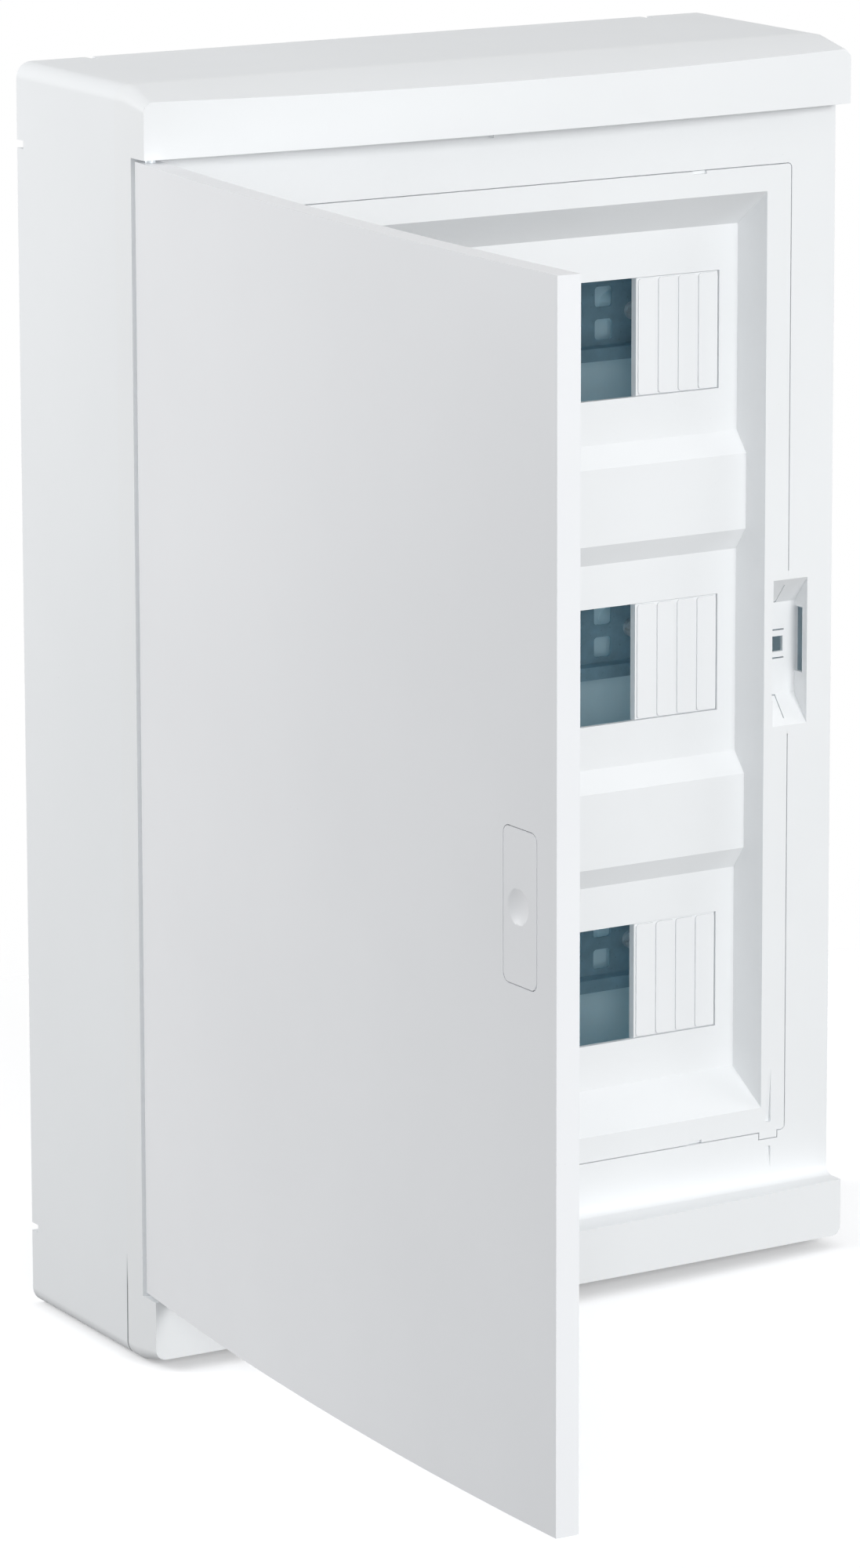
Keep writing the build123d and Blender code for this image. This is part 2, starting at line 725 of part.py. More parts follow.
def make_rail(name, row_z):
    """Perforated top-hat rail, its web on the housing's posts and its lips to the front."""
    crown = rail_crown / 2
    inner = crown - rail_sheet
    edge = rail_height / 2
    lip_back = -rail_front + rail_sheet
    with BuildPart() as rail:
        with BuildSketch(Plane.YZ.offset(-rail_length / 2)):
            with BuildLine():
                Polyline((-rail_front, row_z + edge), (lip_back, row_z + edge), (lip_back, row_z + crown),
                         (-rail_back, row_z + crown), (-rail_back, row_z - crown), (lip_back, row_z - crown),
                         (lip_back, row_z - edge), (-rail_front, row_z - edge), (-rail_front, row_z - inner),
                         (-rail_web_front, row_z - inner), (-rail_web_front, row_z + inner),
                         (-rail_front, row_z + inner), close=True)
            make_face()
        extrude(amount=rail_length)
        with BuildSketch(wall_plane.offset(rail_back)):
            for side in (-1, 1):
                with Locations((side * rail_post_offset, row_z)):
                    Circle(rail_screw_radius + screw_gap)
            with Locations((0, row_z)):
                with GridLocations(perforation_pitch, 2 * square_offset, 2 * square_pairs, 2):
                    RectangleRounded(square_size, square_size, perforation_corner)
                with GridLocations(perforation_pitch, 0, 2 * slot_pairs + 1, 1):
                    RectangleRounded(slot_length, slot_height, perforation_corner)
        extrude(amount=rail_sheet, mode=Mode.SUBTRACT)
    finish(rail, f"din_rail_{name}", steel)


for row_name, row_z in zip(row_names, row_heights):
    make_rail(row_name, row_z)


# ---------------------------------------------------------------- screws
def pan_screws(spots, seat_depth, radius, length, head, head_height):
    """Slotted pan-head screws with their heads' undersides at seat_depth, pointing at the wall."""
    with BuildPart() as screws:
        with BuildSketch(wall_plane.offset(seat_depth)):
            with Locations(*spots):
                Circle(radius)
        extrude(amount=-length)
        with BuildSketch(wall_plane.offset(seat_depth)):
            with Locations(*spots):
                Circle(head)
        extrude(amount=head_height)
        with BuildSketch(wall_plane.offset(seat_depth + head_height - drive_depth)):
            with Locations(*spots):
                Rectangle(2 * head, drive_width)
        extrude(amount=head_height, mode=Mode.SUBTRACT)
    return screws


rail_screws = pan_screws(rail_post_spots, rail_web_front, rail_screw_radius,
                         rail_sheet + rail_screw_length, rail_screw_head, rail_screw_head_height)
finish(rail_screws, "rail_screws", steel)
frame_screws = pan_screws(tower_spots, ledge_front - frame_screw_head_height, frame_screw_radius,
                          frame_screw_length, frame_screw_head, frame_screw_head_height)
finish(frame_screws, "frame_screws", steel)


# ---------------------------------------------------------------- terminal bars
def make_terminal_bar(name, bar_z, color):
    """Bar with cross holes and clamp screws, held at both ends by clips that stand on the back wall."""
    bar_back = back_wall + holder_depth - bar_section
    bar_front = bar_back + bar_section
    with BuildPart() as bar:
        with BuildSketch(wall_plane.offset(bar_back)):
            with Locations((0, bar_z)):
                Rectangle(bar_length, bar_section)
        extrude(amount=bar_section)
        with BuildSketch(Plane.XY.offset(bar_z - bar_section / 2)):
            with Locations((0, -(bar_back + bar_front) / 2)):
                with GridLocations(terminal_pitch, 0, terminal_count, 1):
                    Circle(terminal_radius)
        extrude(amount=bar_section, mode=Mode.SUBTRACT)
        with BuildSketch(wall_plane.offset(bar_front)):
            with Locations((0, bar_z)):
                with GridLocations(terminal_pitch, 0, terminal_count, 1):
                    Circle(clamp_screw_radius + screw_gap)
        extrude(amount=-bar_section / 2, mode=Mode.SUBTRACT)
    finish(bar, f"{name}_bar", brass)

    spots = [((index - (terminal_count - 1) / 2) * terminal_pitch, bar_z) for index in range(terminal_count)]
    with BuildPart() as clamps:
        with BuildSketch(wall_plane.offset(bar_front - bar_section / 2 + terminal_radius)):
            with Locations(*spots):
                Circle(clamp_screw_radius)
        extrude(amount=bar_section / 2 - terminal_radius)
        with BuildSketch(wall_plane.offset(bar_front)):
            with Locations(*spots):
                Circle(clamp_screw_head)
        extrude(amount=clamp_screw_rise)
        with BuildSketch(wall_plane.offset(bar_front + clamp_screw_rise - drive_depth)):
            with Locations(*spots):
                Rectangle(2 * clamp_screw_head, drive_width)
        extrude(amount=clamp_screw_rise, mode=Mode.SUBTRACT)
    finish(clamps, f"{name}_bar_screws", steel)

    jaw = bar_section + 2 * screw_gap
    with BuildPart() as holders:
        for side in (-1, 1):
            with BuildSketch(wall_plane.offset(back_wall)):
                with Locations((side * (bar_length - holder_length) / 2 + side * holder_wall, bar_z)):
                    Rectangle(holder_length, holder_width)
            extrude(amount=holder_depth)
            with BuildSketch(wall_plane.offset(bar_back)):
                with Locations((side * (bar_length / 2 - holder_length), bar_z)):
                    Rectangle(2 * holder_length, jaw)
            extrude(amount=holder_depth, mode=Mode.SUBTRACT)
    finish(holders, f"{name}_bar_holders", color)


make_terminal_bar("neutral", half_height - bar_inset, blue)
make_terminal_bar("earth", bar_inset - half_height, green)


# ---------------------------------------------------------------- door
def door_slab(left, right, back_offset, front_offset, bottom, top):
    """A curved slab on the door: it follows the bowed front between two distances behind it."""
    middle = (left + right) / 2
    with BuildPart() as slab:
        with BuildSketch(door_plan.offset(bottom)):
            with BuildLine():
                ThreePointArc(*[on_door(x, front_depth(x) - front_offset) for x in (left, middle, right)])
                ThreePointArc(*[on_door(x, front_depth(x) - back_offset) for x in (left, middle, right)])
                for x in (left, right):
                    Line(on_door(x, front_depth(x) - front_offset), on_door(x, front_depth(x) - back_offset))
            make_face()
        extrude(amount=top - bottom)
    return slab.part


rib_left = hinge_x + barrel_radius + door_rim
rib_right = free_x - door_rim
latch_span = latch_width + 2 * latch_gap
latch_rise = latch_height + 2 * latch_gap
door_body = door_slab(hinge_x, free_x, door_thickness, 0, door_bottom, door_top)
hinge_corner = door_slab(hinge_left, hinge_x, barrel_radius, 0, door_bottom, door_top)
hollow_back = door_thickness + door_rim
rib_back = door_skin + door_rib_height
hollow_top = door_top - door_rim
hollow_bottom = door_bottom + door_rim
door_hollow = door_slab(rib_left, rib_right, hollow_back, door_skin, hollow_bottom, hollow_top)
rib_spacing = door_height / (door_rib_rows + 1)
rib_bay = (rib_right - rib_left) / (door_rib_columns + 1)

with BuildPart() as door_panel:
    add(door_body)
    # Hinge edge: square at the front, round about the pin axis at the back
    add(hinge_corner)
    with BuildSketch(door_plan.offset(door_bottom)):
        Circle(barrel_radius)
    extrude(amount=door_height)
    add(door_hollow, mode=Mode.SUBTRACT)
    # Stiffening ribs inside the skin
    for row in range(door_rib_rows):
        rib_z = door_bottom + (row + 1) * rib_spacing
        add(door_slab(rib_left, rib_right, rib_back, door_skin, rib_z, rib_z + door_rib))
    for column in range(door_rib_columns):
        rib_x = rib_left + (column + 1) * rib_bay
        add(door_slab(rib_x, rib_x + door_rib, rib_back, door_skin, hollow_bottom, hollow_top))
    # Opening for the latch button
    with BuildSketch(door_face):
        with Locations((latch_x - hinge_x, 0)):
            RectangleRounded(latch_span, latch_rise, latch_corner + latch_gap)
    extrude(amount=2 * door_thickness, both=True, mode=Mode.SUBTRACT)
    # Bores for the hinge pins
    with BuildSketch(door_plan.offset(door_top)):
        Circle(pin_radius + pin_running_gap)
    extrude(amount=-pin_in_door - pin_end_gap, mode=Mode.SUBTRACT)
    with BuildSketch(door_plan.offset(door_bottom)):
        Circle(pin_radius + pin_running_gap)
    extrude(amount=pin_in_door + pin_end_gap, mode=Mode.SUBTRACT)
finish(door_panel, "door_panel", white)


# ---------------------------------------------------------------- hinge pins
def make_pin(name, seat_z, direction):
    """Pin seated in the frame and running in the door; direction points from the frame into the door."""
    gap = door_top_gap if direction < 0 else door_bottom_gap
    with BuildPart() as pin:
        with BuildSketch(Plane.XY.offset(seat_z - direction * pin_in_frame)):
            with Locations((hinge_x, -hinge_depth)):
                Circle(pin_radius)
        extrude(amount=direction * (pin_in_frame + gap + pin_in_door))
    finish(pin, name, steel)


make_pin("hinge_pin_upper", brow_bottom, -1)
make_pin("hinge_pin_lower", lip_top, 1)


# ---------------------------------------------------------------- latch
case_centre = (case_left + case_right) / 2
case_width = case_right - case_left
rim_back = door_skin + rim_gap + rim_thickness
rim_width = latch_width + 2 * rim_reach
rim_height = latch_height + 2 * rim_reach
tray_span = rim_width + 2 * latch_gap
tray_rise = rim_height + 2 * latch_gap
tray_width = tray_span + 2 * housing_wall
tray_height = tray_rise + 2 * housing_wall
flange_left = latch_x - tray_width / 2 - housing_flange
flange_right = latch_x + tray_width / 2 + housing_flange
flange_top = tray_height / 2 + housing_flange
flange_back = door_skin + 2 * screw_gap
flange_front = flange_back + housing_wall
flange_ring = door_slab(flange_left, flange_right, flange_front, flange_back, -flange_top, flange_top)
stem_front = front_depth(latch_x) - rim_back + rim_thickness / 2
seam_trim = door_slab(rib_left, free_x, -door_thickness, flange_back, -flange_top, flange_top)

with BuildPart() as latch_housing:
    # Wide tray behind the button, then the narrow case that dips into the cabinet's pocket
    with BuildSketch(door_face.offset(tray_back - hinge_depth)):
        with Locations((latch_x - hinge_x, 0)):
            Rectangle(tray_width, tray_height)
    extrude(amount=door_thickness)
    with BuildSketch(door_face.offset(case_back - hinge_depth)):
        with Locations((case_centre - hinge_x, 0)):
            Rectangle(case_width, 2 * case_half_height)
    extrude(amount=tray_back - case_back)
    add(flange_ring)
    add(seam_trim, mode=Mode.SUBTRACT)
    with BuildSketch(door_face.offset(tray_back + housing_wall - hinge_depth)):
        with Locations((latch_x - hinge_x, 0)):
            Rectangle(tray_span, tray_rise)
    extrude(amount=2 * door_thickness, mode=Mode.SUBTRACT)
    with BuildSketch(door_face.offset(case_back + housing_wall - hinge_depth)):
        with Locations((case_centre - hinge_x, 0)):
            Rectangle(case_width - 2 * housing_wall, 2 * (case_half_height - housing_wall))
    extrude(amount=2 * door_thickness, mode=Mode.SUBTRACT)
    # Slot in the case's back that lets the hook out and slide
    slot_left = hook_left - slider_gap
    hook_slot_width = hook_right + latch_travel + slider_gap - slot_left
    with BuildSketch(door_face.offset(case_back - hinge_depth)):
        with Locations((slot_left + hook_slot_width / 2 - hinge_x, catch_centre)):
            Rectangle(hook_slot_width, hook_width + 2 * slider_gap)
    extrude(amount=housing_wall, mode=Mode.SUBTRACT)
finish(latch_housing, "latch_housing", shade_white)

button_left = latch_x - rim_width / 2
button_right = latch_x + rim_width / 2
button_plate = door_slab(button_left, button_right, rim_back, 0, -rim_height / 2, rim_height / 2)
button_rim = door_slab(button_left, button_right, rim_back, rim_back - rim_thickness,
                       -rim_height / 2, rim_height / 2)
stem_left = slider_left
stem_right = case_right - housing_wall - slider_gap
fin_foot = slider_left + fin_step
fin_base = fin_foot + stem_back - slider_front
cam_rise = fin_grip + latch_travel + cam_gap

with BuildPart() as latch_button:
    # Plate in the door's opening, with a rim behind the door's skin
    add(button_plate)
    with BuildSketch(door_face):
        with Locations((latch_x - hinge_x, 0)):
            RectangleRounded(latch_width, latch_height, latch_corner)
    extrude(amount=2 * door_thickness, both=True, mode=Mode.INTERSECT)
    add(button_rim)
    # Stem with the slanted slot that the slider's fin runs in
    with BuildSketch(door_plan.offset(catch_centre - stem_height / 2)):
        with BuildLine():
            Polyline(on_door(stem_left, stem_front), on_door(stem_left, stem_back),
                     on_door(fin_base - cam_gap, stem_back),
                     on_door(fin_base - cam_gap + cam_rise, stem_back + cam_rise),
                     on_door(fin_base + fin_thickness + cam_gap + cam_rise, stem_back + cam_rise),
                     on_door(fin_base + fin_thickness + cam_gap, stem_back),
                     on_door(stem_right, stem_back), on_door(stem_right, stem_front), close=True)
        make_face()
    extrude(amount=stem_height)
    # Finger dimple
    dimple_ball = (dimple_radius**2 + dimple_depth**2) / (2 * dimple_depth)
    dimple_offset = front_depth(latch_x) - hinge_depth + dimple_ball - dimple_depth
    with Locations(door_face.offset(dimple_offset) * Location((latch_x - hinge_x, 0, 0))):
        Sphere(dimple_ball, mode=Mode.SUBTRACT)
finish(latch_button, "latch_button", white)

fin_rise = stem_back + fin_grip - slider_front

with BuildPart() as latch_tongue:
    # Slider with the slanted fin
    with BuildSketch(door_plan.offset(catch_centre - slider_height / 2)):
        with BuildLine():
            Polyline(on_door(slider_left, slider_back), on_door(slider_left, slider_front),
                     on_door(fin_foot, slider_front), on_door(fin_foot + fin_rise, slider_front + fin_rise),
                     on_door(fin_foot + fin_thickness + fin_rise, slider_front + fin_rise),
                     on_door(fin_foot + fin_thickness, slider_front),
                     on_door(slider_right, slider_front), on_door(slider_right, slider_back), close=True)
        make_face()
    extrude(amount=slider_height)
    # Hook that reaches through the catch hole and grips behind the pocket's floor
    with BuildSketch(door_plan.offset(catch_centre - hook_width / 2)):
        with BuildLine():
            Polyline(on_door(hook_left, slider_front), on_door(hook_left, hook_catch),
                     on_door(catch_left - hook_bite, hook_catch),
                     on_door(catch_left - hook_bite + hook_nose, hook_tip),
                     on_door(hook_left + hook_gap, hook_tip),
                     on_door(hook_right, hook_tip + hook_thickness - hook_gap),
                     on_door(hook_right, slider_front), close=True)
        make_face()
    extrude(amount=hook_width)
finish(latch_tongue, "latch_tongue", shade_white)

spring_seat = tray_back + housing_wall
spring_spot = latch_rise / 2 - spring_length / 2 - spring_thickness
spring_right = case_left - screw_gap
spring_arch = front_depth(spring_right) - rim_back - spring_seat - screw_gap
spring_foot = 2 * spring_thickness
spring_base = door_face.offset(spring_seat - hinge_depth).origin
spring_plane = Plane(origin=spring_base, x_dir=(0, 0, 1), z_dir=(open_cos, -open_sin, 0))

with BuildPart() as latch_springs:
    # One arched leaf above and one below the stem, standing on the tray
    for end in (-1, 1):
        middle = end * spring_spot
        with BuildSketch(spring_plane.offset(spring_right - spring_width - hinge_x)):
            with BuildLine():
                low = middle - spring_length / 2
                high = middle + spring_length / 2
                crest = spring_arch - spring_thickness
                ThreePointArc((low, 0), (middle, spring_arch), (high, 0))
                ThreePointArc((low + spring_foot, 0), (middle, crest), (high - spring_foot, 0))
                Line((low, 0), (low + spring_foot, 0))
                Line((high - spring_foot, 0), (high, 0))
            make_face()
        extrude(amount=spring_width)
finish(latch_springs, "latch_springs", steel)
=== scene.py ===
import json
import math

import bpy
from mathutils import Matrix, Vector


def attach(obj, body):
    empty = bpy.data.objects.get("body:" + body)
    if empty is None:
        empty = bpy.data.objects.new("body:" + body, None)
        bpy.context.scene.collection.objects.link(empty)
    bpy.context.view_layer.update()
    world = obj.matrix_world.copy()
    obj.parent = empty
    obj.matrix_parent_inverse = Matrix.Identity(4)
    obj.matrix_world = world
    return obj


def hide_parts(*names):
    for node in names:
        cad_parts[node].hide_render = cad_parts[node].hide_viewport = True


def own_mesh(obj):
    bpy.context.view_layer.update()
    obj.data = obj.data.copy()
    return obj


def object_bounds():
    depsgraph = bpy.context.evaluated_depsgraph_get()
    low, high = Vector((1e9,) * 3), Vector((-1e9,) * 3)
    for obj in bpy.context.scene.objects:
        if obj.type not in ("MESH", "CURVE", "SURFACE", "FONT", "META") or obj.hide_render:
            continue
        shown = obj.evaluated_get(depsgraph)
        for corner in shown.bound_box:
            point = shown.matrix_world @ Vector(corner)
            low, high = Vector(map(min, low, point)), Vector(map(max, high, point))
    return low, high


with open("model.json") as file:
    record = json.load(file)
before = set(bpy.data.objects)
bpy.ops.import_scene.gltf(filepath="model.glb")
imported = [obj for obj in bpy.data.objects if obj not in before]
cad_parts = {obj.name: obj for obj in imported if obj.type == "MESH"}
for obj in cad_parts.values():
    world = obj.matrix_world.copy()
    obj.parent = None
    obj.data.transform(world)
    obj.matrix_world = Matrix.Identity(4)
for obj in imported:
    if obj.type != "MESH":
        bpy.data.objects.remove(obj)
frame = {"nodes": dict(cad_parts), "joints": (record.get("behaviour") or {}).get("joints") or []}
rest_bounds = [list(corner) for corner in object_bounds()]
nodes = frame["nodes"]
joints = {joint["name"]: joint for joint in frame["joints"]}
scene = bpy.context.scene


# ---------------------------------------------------------------- materials
class Recipe:
    """Small helper round one node tree."""

    def __init__(self, name):
        self.material = bpy.data.materials.new(name)
        self.material.use_nodes = True
        self.tree = self.material.node_tree
        self.shader = self.tree.nodes["Principled BSDF"]
        self.place = self.add("ShaderNodeTexCoord").outputs["Object"]

    def add(self, kind, **settings):
        node = self.tree.nodes.new(kind)
        for key, value in settings.items():
            setattr(node, key, value)
        return node

    def link(self, source, target):
        self.tree.links.new(source, target)

    def noise(self, scale, detail=3.0, roughness=0.5, stretch=(1, 1, 1)):
        mapping = self.add("ShaderNodeMapping")
        mapping.inputs["Scale"].default_value = stretch
        self.link(self.place, mapping.inputs["Vector"])
        node = self.add("ShaderNodeTexNoise")
        node.inputs["Scale"].default_value = scale
        node.inputs["Detail"].default_value = detail
        node.inputs["Roughness"].default_value = roughness
        self.link(mapping.outputs["Vector"], node.inputs["Vector"])
        return node.outputs["Fac"]

    def specks(self, scale, size):
        """Scattered round specks: 1 inside a speck, 0 between them."""
        node = self.add("ShaderNodeTexVoronoi", feature="F1")
        node.inputs["Scale"].default_value = scale
        self.link(self.place, node.inputs["Vector"])
        return self.spread(node.outputs["Distance"], 1.0, 0.0, 0.0, size)

    def ramp(self, source, low, high, start=0.35, end=0.65):
        node = self.add("ShaderNodeValToRGB")
        node.color_ramp.elements[0].position = start
        node.color_ramp.elements[1].position = end
        node.color_ramp.elements[0].color = (*low, 1)
        node.color_ramp.elements[1].color = (*high, 1)
        self.link(source, node.inputs["Fac"])
        return node.outputs["Color"]

    def spread(self, source, low, high, start=0.0, end=1.0):
        node = self.add("ShaderNodeMapRange")
        node.inputs["From Min"].default_value = start
        node.inputs["From Max"].default_value = end
        node.inputs["To Min"].default_value = low
        node.inputs["To Max"].default_value = high
        self.link(source, node.inputs["Value"])
        return node.outputs["Result"]

    def math(self, operation, first, second):
        node = self.add("ShaderNodeMath", operation=operation)
        for socket, value in zip(node.inputs, (first, second)):
            if isinstance(value, (int, float)):
                socket.default_value = value
            else:
                self.link(value, socket)
        return node.outputs["Value"]

    def mix(self, factor, under, over):
        node = self.add("ShaderNodeMix", data_type="RGBA")
        self.link(factor, node.inputs["Factor"])
        for socket, value in zip(("A", "B"), (under, over)):
            target = [i for i in node.inputs if i.name == socket and i.type == "RGBA"][0]
            if isinstance(value, tuple):
                target.default_value = (*value, 1)
            else:
                self.link(value, target)
        return [o for o in node.outputs if o.type == "RGBA"][0]

    def bump(self, source, strength, distance, under=None):
        node = self.add("ShaderNodeBump")
        node.inputs["Strength"].default_value = strength
        node.inputs["Distance"].default_value = distance
        self.link(source, node.inputs["Height"])
        if under is not None:
            self.link(under, node.inputs["Normal"])
        return node.outputs["Normal"]


def moulded(name, color, roughness, grain=0.12, drift=0.010, changes=()):
    """Injection-moulded plastic: spark-eroded grain, faint flow clouds, uneven gloss, a few dust specks."""
    r = Recipe(name)
    low = tuple(max(c - drift, 0) for c in color)
    high = tuple(min(c + drift, 1) for c in color)
    tone = r.ramp(r.noise(9.0, 4.0, 0.55), low, high)
    dust = r.math("MULTIPLY", r.specks(260.0, 0.07), r.spread(r.noise(30.0, 3.0), 0.0, 0.6, 0.55, 0.7))
    tone = r.mix(dust, tone, tuple(0.72 * c for c in color))
    for change in changes:
        tone = change(r, tone)
    r.link(tone, r.shader.inputs["Base Color"])
    gloss = r.spread(r.noise(140.0, 5.0, 0.6), roughness - 0.05, roughness + 0.05)
    r.link(gloss, r.shader.inputs["Roughness"])
    grained = r.bump(r.noise(2600.0, 2.0, 0.5), grain, 0.00004)
    r.link(r.bump(r.noise(14.0, 2.0, 0.4), 0.10, 0.0004, grained), r.shader.inputs["Normal"])
    r.shader.inputs["IOR"].default_value = 1.46
    return r.material


def sheet_metal(name, color, roughness, metallic=0.85, stretch=(1, 1, 30), marks=0.35):
    """Plated steel: long rolling marks, cloudy zinc and small dull specks."""
    r = Recipe(name)
    low = tuple(0.80 * c for c in color)
    high = tuple(min(1.16 * c, 1) for c in color)
    tone = r.ramp(r.noise(60.0, 6.0, 0.65), low, high, 0.3, 0.7)
    tone = r.mix(r.math("MULTIPLY", r.specks(330.0, 0.16), marks), tone, tuple(0.2 * c for c in color))
    r.link(tone, r.shader.inputs["Base Color"])
    rolling = r.noise(160.0, 4.0, 0.6, stretch)
    r.link(r.spread(rolling, roughness - 0.1, roughness + 0.12), r.shader.inputs["Roughness"])
    r.link(r.bump(rolling, 0.2, 0.00005), r.shader.inputs["Normal"])
    r.shader.inputs["Metallic"].default_value = metallic
    return r.material


# The box that holds the housing's inside surfaces, in metres
inner_half_width, inner_half_height, inner_back = 0.140, 0.2336, -0.0029
# The seam between the housing and the frame: where it lies, how wide its painted shadow line is, and where
# that line fades out
seam = max(vertex.co.y for vertex in nodes["front_frame"].data.vertices)
seam_shadow_core, seam_shadow_edge = 0.0002, 0.0006
seam_shadow_full_below, seam_shadow_gone_above = -0.209, -0.196


def painted_blue_shade_inside(r, tone):
    """Painted shade: the housing's inside surfaces get a bluer tone than its outside walls, standing for
    the cool shade inside the box.
    """
    place = r.add("ShaderNodeSeparateXYZ")
    r.link(r.place, place.inputs["Vector"])
    side = r.math("ABSOLUTE", place.outputs["X"], 0.0)
    rise = r.math("ABSOLUTE", place.outputs["Z"], 0.0)
    within = r.math("LESS_THAN", side, inner_half_width)
    within = r.math("MULTIPLY", within, r.math("LESS_THAN", rise, inner_half_height))
    within = r.math("MULTIPLY", within, r.math("LESS_THAN", place.outputs["Y"], inner_back))
    # Painted shade: this bluer tone stands for the shade inside the box.
    painted_shade_tone = r.ramp(r.noise(12.0, 4.0, 0.55), (0.735, 0.92, 0.98), (0.785, 0.955, 1.0))
    return r.mix(within, tone, painted_shade_tone)


def painted_seam_shadow(r, tone):
    """Paints a thin shadow line along the seam between the housing and the frame, as if it opened a hair
    towards the bottom.
    """
    place = r.add("ShaderNodeSeparateXYZ")
    r.link(r.place, place.inputs["Vector"])
    away = r.math("ABSOLUTE", r.math("SUBTRACT", place.outputs["Y"], seam), 0.0)
    line = r.spread(away, 1.0, 0.0, seam_shadow_core, seam_shadow_edge)
    low = r.spread(place.outputs["Z"], 1.0, 0.0, seam_shadow_full_below, seam_shadow_gone_above)
    # Painted shadow: a dark line along the seam, full at the bottom and fading out above.
    return r.mix(r.math("MULTIPLY", line, low), tone, (0.16, 0.17, 0.18))


# The cover's white is a touch darker than the housing's: painted shade for the frame's sides in front of
# the seam, which look darker.
cover = moulded("cover_white", (0.838, 0.850, 0.859), 0.42, changes=(painted_seam_shadow,))
door_white = moulded("door_white", (0.833, 0.840, 0.856), 0.38, 0.08)
housing = moulded("housing_white", (0.842, 0.856, 0.868), 0.5, 0.2, changes=(painted_blue_shade_inside, painted_seam_shadow))
strip = moulded("strip_white", (0.845, 0.855, 0.865), 0.45)
latch = moulded("latch_white", (0.78, 0.79, 0.81), 0.45)
rail = sheet_metal("rail_steel", (0.35, 0.51, 0.59), 0.42, 0.4)
screw = sheet_metal("screw_steel", (0.78, 0.82, 0.84), 0.3, 0.55, (1, 1, 1))
brass = sheet_metal("bar_brass", (0.62, 0.43, 0.16), 0.32, 0.95)
blue = moulded("holder_blue", (0.03, 0.12, 0.36), 0.45)
green = moulded("holder_green", (0.03, 0.22, 0.08), 0.45)

finishes = {
    cover: ["front_frame", "mask"],
    door_white: ["door_panel", "latch_button"],
    housing: ["rear_housing", "cable_entry_plate_top", "cable_entry_plate_bottom"],
    strip: ["blanking_strip_top", "blanking_strip_middle", "blanking_strip_bottom"],
    latch: ["latch_housing", "latch_tongue"],
    rail: ["din_rail_top", "din_rail_middle", "din_rail_bottom"],
    screw: ["rail_screws", "frame_screws", "hinge_pin_upper", "hinge_pin_lower", "latch_springs"]
    + ["neutral_bar_screws", "earth_bar_screws"],
    brass: ["neutral_bar", "earth_bar"],
    blue: ["neutral_bar_holders"],
    green: ["earth_bar_holders"],
}
for material, names in finishes.items():
    for name in names:
        mesh = nodes[name].data
        mesh.materials.clear()
        mesh.materials.append(material)


# ---------------------------------------------------------------- springs
# The bowed leaf springs are copied from their CAD node and ride on the door; their seat point along the
# button's press axis is found
press = joints["latch_press"]
along = Vector(press["axis"])
leaves = nodes["latch_springs"].copy()
leaves.data = nodes["latch_springs"].data.copy()
leaves.name = "latch_leaf_springs"
scene.collection.objects.link(leaves)
seat = max((vertex.co for vertex in leaves.data.vertices), key=along.dot).copy()
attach(leaves, "door")
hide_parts("latch_springs")
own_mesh(leaves)


# ---------------------------------------------------------------- rounded edges
def soften(name, radius, sharpest=24):
    """Rolls the edges of a CAD node that turn by more than sharpest degrees, by radius in metres."""
    obj = nodes[name]
    weld = obj.modifiers.new("weld", "WELD")
    weld.merge_threshold = 0.00001
    bevel = obj.modifiers.new("edges", "BEVEL")
    bevel.width = radius
    bevel.segments = 2
    bevel.limit_method = "ANGLE"
    bevel.angle_limit = math.radians(sharpest)
    bevel.use_clamp_overlap = True
    bevel.harden_normals = True
    for polygon in obj.data.polygons:
        polygon.use_smooth = True
    normals = obj.modifiers.new("normals", "WEIGHTED_NORMAL")
    normals.keep_sharp = True


edge_radii = {
    "front_frame": 0.0006,
    "door_panel": 0.0007,
    "mask": 0.0002,
    "rear_housing": 0.0005,
    "latch_button": 0.0004,
    "blanking_strip_top": 0.0004,
    "blanking_strip_middle": 0.0004,
    "blanking_strip_bottom": 0.0004,
}
for name, radius in edge_radii.items():
    soften(name, radius)


# ---------------------------------------------------------------- stage
lowest = rest_bounds[0][2]
middle = [(low + high) / 2 for low, high in zip(*rest_bounds)]


def flat(name, points, material):
    mesh = bpy.data.meshes.new(name)
    mesh.from_pydata(points, [], [list(range(len(points)))])
    obj = bpy.data.objects.new(name, mesh)
    scene.collection.objects.link(obj)
    mesh.materials.append(material)
    return obj


def seen_directly(recipe_tree):
    """1 for rays that show the background itself: camera, glossy and transmission rays."""
    path = recipe_tree.nodes.new("ShaderNodeLightPath")
    total = path.outputs["Is Camera Ray"]
    for other in ("Is Glossy Ray", "Is Transmission Ray"):
        either = recipe_tree.nodes.new("ShaderNodeMath")
        either.operation = "MAXIMUM"
        recipe_tree.links.new(total, either.inputs[0])
        recipe_tree.links.new(path.outputs[other], either.inputs[1])
        total = either.outputs["Value"]
    return total


# A white floor that keeps the contact shadow, sends little light back up and fades into the background
reach, drop, floor_glow = 8.0, 0.0005, 0.27
fade_from, fade_to = 0.3, 0.8
floor = Recipe("floor")
tone = floor.ramp(floor.noise(3.0, 3.0, 0.5), (0.93, 0.93, 0.935), (0.95, 0.95, 0.955))
floor.link(tone, floor.shader.inputs["Base Color"])
floor.link(tone, floor.shader.inputs["Emission Color"])
floor.shader.inputs["Emission Strength"].default_value = floor_glow
floor.shader.inputs["Roughness"].default_value = 0.9
floor.shader.inputs["Specular IOR Level"].default_value = 0.1
dim = floor.add("ShaderNodeBsdfDiffuse")
grey = floor.ramp(floor.noise(3.0, 3.0, 0.5), (0.20, 0.20, 0.20), (0.24, 0.24, 0.24))
floor.link(grey, dim.inputs["Color"])
lit = floor.add("ShaderNodeMixShader")
floor.link(seen_directly(floor.tree), lit.inputs["Fac"])
floor.link(dim.outputs["BSDF"], lit.inputs[1])
floor.link(floor.shader.outputs["BSDF"], lit.inputs[2])
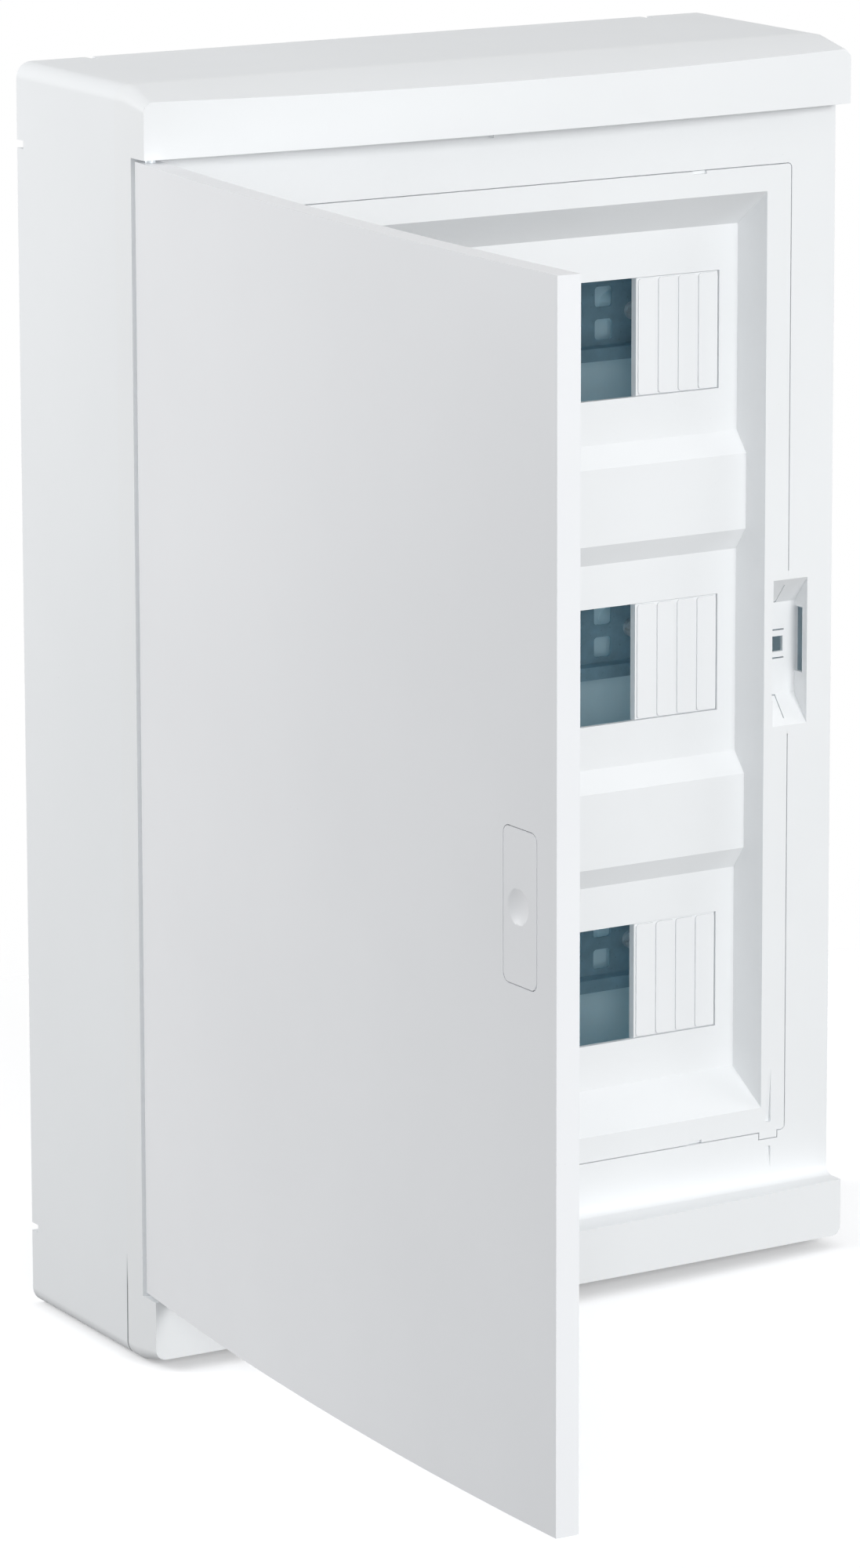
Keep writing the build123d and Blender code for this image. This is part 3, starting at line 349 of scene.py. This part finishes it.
from_middle = floor.add("ShaderNodeVectorMath", operation="DISTANCE")
floor.link(floor.place, from_middle.inputs[0])
from_middle.inputs[1].default_value = (middle[0], middle[1], 0)
clear = floor.add("ShaderNodeBsdfTransparent")
faded = floor.add("ShaderNodeMixShader")
floor.link(floor.spread(from_middle.outputs["Value"], 0.0, 1.0, fade_from, fade_to), faded.inputs["Fac"])
floor.link(lit.outputs["Shader"], faded.inputs[1])
floor.link(clear.outputs["BSDF"], faded.inputs[2])
floor.link(faded.outputs["Shader"], floor.tree.nodes["Material Output"].inputs["Surface"])
level = lowest - drop
corners = [(-reach, -reach, level), (reach, -reach, level), (reach, reach, level), (-reach, reach, level)]
flat("floor", corners, floor.material)

# The world is white to look at, and lights the object softly, less from below than from above
world = bpy.data.worlds.new("studio")
scene.world = world
world.use_nodes = True
tree = world.node_tree
tree.nodes.clear()
output = tree.nodes.new("ShaderNodeOutputWorld")
mix = tree.nodes.new("ShaderNodeMixShader")
seen = tree.nodes.new("ShaderNodeBackground")
fill = tree.nodes.new("ShaderNodeBackground")
seen.inputs["Color"].default_value = (1, 1, 1, 1)
seen.inputs["Strength"].default_value = 1.0
fill.inputs["Color"].default_value = (0.98, 0.99, 1.0, 1)
fill_above, fill_below = 0.52, 0.1
direction = tree.nodes.new("ShaderNodeTexCoord")
height = tree.nodes.new("ShaderNodeSeparateXYZ")
shade = tree.nodes.new("ShaderNodeMapRange")
for name, value in (("From Min", -0.3), ("From Max", 0.3), ("To Min", fill_below), ("To Max", fill_above)):
    shade.inputs[name].default_value = value
tree.links.new(direction.outputs["Generated"], height.inputs["Vector"])
tree.links.new(height.outputs["Z"], shade.inputs["Value"])
tree.links.new(shade.outputs["Result"], fill.inputs["Strength"])
tree.links.new(seen_directly(tree), mix.inputs["Fac"])
tree.links.new(fill.outputs["Background"], mix.inputs[1])
tree.links.new(seen.outputs["Background"], mix.inputs[2])
tree.links.new(mix.outputs["Shader"], output.inputs["Surface"])


def lamp(name, place, size, power, target=(0, -0.1, 0), tint=(1, 1, 1)):
    data = bpy.data.lights.new(name, "AREA")
    data.shape = "RECTANGLE"
    data.size, data.size_y = size
    data.energy = power
    data.color = tint
    obj = bpy.data.objects.new(name, data)
    obj.location = place
    obj.rotation_euler = (Vector(target) - Vector(place)).to_track_quat("-Z", "Y").to_euler()
    scene.collection.objects.link(obj)
    return obj


lamp("key", (0.65, -3.6, 1.15), (1.25, 1.0), 60.5)
lamp("low_front", (0.6, -2.8, 0.1), (1.6, 0.6), 3.6)
lamp("front_left", (-1.3, -2.5, 0.5), (0.6, 0.8), 15.0, (0, -0.1, 0), (0.92, 0.96, 0.98))
lamp("right", (2.6, -0.9, 0.6), (1.2, 1.2), 14.0)
lamp("left_high", (-0.9, 0.35, 0.6), (0.4, 0.6), 2.0, (-0.15, -0.2, 0))
lamp("left_low", (-1.1, 0.6, 0.35), (0.4, 0.6), 6.0, (-0.15, -0.2, 0))
scene.cycles.max_bounces = 28
scene.cycles.diffuse_bounces = 24


# ---------------------------------------------------------------- camera
# The photograph's camera: angles in degrees, distances in metres, focal length in frame heights
azimuth, elevation, roll = math.radians(-30.737), math.radians(10.581), math.radians(-0.137)
distance, right_shift, up_shift = 2.4848, -0.01114, 0.06122
focal_heights, sensor = 4.197, 36
sight = Vector((0.009, -0.048, 0.014))
level_back = Vector((math.sin(azimuth), -math.cos(azimuth), 0))
back = level_back * math.cos(elevation) + Vector((0, 0, math.sin(elevation)))
right = Vector((math.cos(azimuth), math.sin(azimuth), 0))
up = back.cross(right)
place = sight + back * distance + right * right_shift + up * up_shift
tilted_right = right * math.cos(roll) + up * math.sin(roll)
tilted_up = up * math.cos(roll) - right * math.sin(roll)
camera_data = bpy.data.cameras.new("camera")
camera_data.sensor_width = sensor
camera_data.lens = sensor * focal_heights
camera_data.shift_y = -0.2
camera_data.clip_end = 100
camera = bpy.data.objects.new("camera", camera_data)
axes = Matrix((tilted_right, tilted_up, back)).transposed().to_4x4()
camera.matrix_world = Matrix.Translation(place) @ axes
scene.collection.objects.link(camera)
scene.camera = camera
scene.view_settings.view_transform = "Standard"
